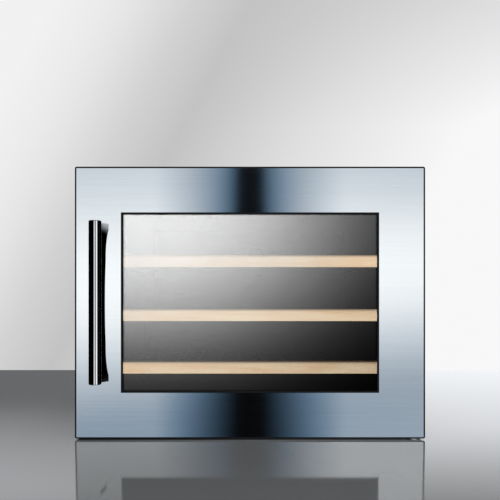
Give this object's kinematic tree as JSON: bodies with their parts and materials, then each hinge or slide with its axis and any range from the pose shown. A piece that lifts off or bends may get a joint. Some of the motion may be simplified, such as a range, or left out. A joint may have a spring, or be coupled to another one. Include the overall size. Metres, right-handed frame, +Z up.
{
  "type": "built-in wine cooler",
  "caption": "Built-in wine cooler: black cabinet, stainless-framed glass door with a bar handle, pull-out wooden-fronted shelves, compressor cooling and levelling feet.",
  "frame": {"origin": "middle of the footprint at floor level", "axes": "+Z up, door faces -Y, +X to the right as seen from the front"},
  "size_m": [0.59, 0.625, 0.46],
  "materials": {
    "stainless": "satin",
    "frame_black": "satin",
    "door_lining": "satin",
    "clear_glass": "gloss",
    "spacer_metal": "matte",
    "edge_sealant": "matte",
    "foam": "matte",
    "gasket_rubber": "satin",
    "black_chrome": "polished",
    "zinc_steel": "satin",
    "bush_plastic": "satin",
    "bracket_steel": "satin",
    "shell_paint": "satin",
    "plated_sheet": "satin",
    "liner_plastic": "satin",
    "gland_plastic": "satin",
    "beech": "satin",
    "rack_wire": "satin",
    "runner_plastic": "satin",
    "evaporator_metal": "satin",
    "duct_plastic": "satin",
    "fan_plastic": "satin",
    "blade_plastic": "satin",
    "probe_plastic": "satin",
    "control_plastic": "gloss",
    "display_window": "gloss",
    "button_plastic": "satin",
    "lens_plastic": "satin",
    "compressor_paint": "satin",
    "grommet_rubber": "matte",
    "condenser_metal": "satin",
    "copper": "satin",
    "tray_plastic": "satin",
    "box_plastic": "satin",
    "foot_plastic": "satin"
  },
  "bodies": {
    "cabinet": {"insulation_foam": "foam", "cabinet_screws": "zinc_steel", "hinge_pins": "zinc_steel", "hinge_brackets": "bracket_steel", "niche_brackets": "bracket_steel", "side_panel_left": "shell_paint", "side_panel_right": "shell_paint", "top_panel": "shell_paint", "front_collar": "shell_paint", "base_pan": "plated_sheet", "back_panel": "plated_sheet", "bay_bulkhead": "plated_sheet", "bay_cover": "plated_sheet", "inner_liner": "liner_plastic", "power_gland": "gland_plastic", "shelf_runners": "runner_plastic", "evaporator_plate": "evaporator_metal", "evaporator_cover": "duct_plastic", "evap_fan_housing": "fan_plastic", "condenser_fan_shroud": "fan_plastic", "temperature_probe": "probe_plastic", "control_panel": "control_plastic", "control_display": "display_window", "led_lens": "lens_plastic", "compressor": "compressor_paint", "compressor_mounts": "grommet_rubber", "condenser_coil": "condenser_metal", "refrigerant_lines": "copper", "filter_drier": "copper", "drip_tray": "tray_plastic", "control_box": "box_plastic", "rear_feet": "foot_plastic"},
    "door": {"door_panel": "stainless", "door_frame": "frame_black", "outer_glass": "clear_glass", "glass_spacer": "spacer_metal", "glass_seal": "edge_sealant", "inner_glass": "clear_glass", "door_foam": "foam", "door_liner": "door_lining", "door_gasket": "gasket_rubber", "handle_bar": "black_chrome", "handle_arch": "black_chrome", "handle_screws": "zinc_steel", "hinge_bushes": "bush_plastic"},
    "low_shelf": {"shelf_rail_1": "beech", "shelf_rack_1": "rack_wire"},
    "middle_shelf": {"shelf_rail_2": "beech", "shelf_rack_2": "rack_wire"},
    "top_shelf": {"shelf_rail_3": "beech", "shelf_rack_3": "rack_wire"},
    "evaporator_fan": {"evap_fan_rotor": "blade_plastic"},
    "condenser_fan": {"condenser_fan_rotor": "blade_plastic"},
    "power_key": {"power_button": "button_plastic"},
    "light_key": {"light_button": "button_plastic"},
    "temp_up_key": {"temp_up_button": "button_plastic"},
    "temp_down_key": {"temp_down_button": "button_plastic"},
    "left_foot": {"front_foot_left": "foot_plastic"},
    "right_foot": {"front_foot_right": "foot_plastic"}
  },
  "joints": [
    {"name": "door_hinge", "type": "hinge", "parent": "cabinet", "child": "door", "pos_m": [0.281, -0.2365, 0.231], "axis": [0, 0, 1], "range_deg": [0, 105]},
    {"name": "low_shelf_slide", "type": "slide", "parent": "cabinet", "child": "low_shelf", "axis": [0, -1, 0], "range_m": [0, 0.135]},
    {"name": "middle_shelf_slide", "type": "slide", "parent": "cabinet", "child": "middle_shelf", "axis": [0, -1, 0], "range_m": [0, 0.135]},
    {"name": "top_shelf_slide", "type": "slide", "parent": "cabinet", "child": "top_shelf", "axis": [0, -1, 0], "range_m": [0, 0.135]},
    {"name": "evaporator_fan_spin", "type": "hinge", "parent": "cabinet", "child": "evaporator_fan", "pos_m": [0, 0.2625, 0.33], "axis": [0, 1, 0], "continuous": true},
    {"name": "condenser_fan_spin", "type": "hinge", "parent": "cabinet", "child": "condenser_fan", "pos_m": [-0.2, 0.2365, 0.08525], "axis": [1, 0, 0], "continuous": true},
    {"name": "power_press", "type": "slide", "parent": "cabinet", "child": "power_key", "axis": [0, 1, 0], "range_m": [0, 0.001], "stiffness_N_per_m": 300, "springref_m": -0.001},
    {"name": "light_press", "type": "slide", "parent": "cabinet", "child": "light_key", "axis": [0, 1, 0], "range_m": [0, 0.001], "stiffness_N_per_m": 300, "springref_m": -0.001},
    {"name": "temp_up_press", "type": "slide", "parent": "cabinet", "child": "temp_up_key", "axis": [0, 1, 0], "range_m": [0, 0.001], "stiffness_N_per_m": 300, "springref_m": -0.001},
    {"name": "temp_down_press", "type": "slide", "parent": "cabinet", "child": "temp_down_key", "axis": [0, 1, 0], "range_m": [0, 0.001], "stiffness_N_per_m": 300, "springref_m": -0.001},
    {"name": "left_foot_screw", "type": "slide", "parent": "cabinet", "child": "left_foot", "axis": [0, 0, 1], "range_m": [-0.01, 0]},
    {"name": "right_foot_screw", "type": "slide", "parent": "cabinet", "child": "right_foot", "axis": [0, 0, 1], "range_m": [-0.01, 0]}
  ],
  "couplings": [
    {"joint": "low_shelf_slide", "follows": "door_hinge", "m_per_rad": 0.0733},
    {"joint": "middle_shelf_slide", "follows": "door_hinge", "m_per_rad": 0.0733},
    {"joint": "top_shelf_slide", "follows": "door_hinge", "m_per_rad": 0.0733}
  ]
}
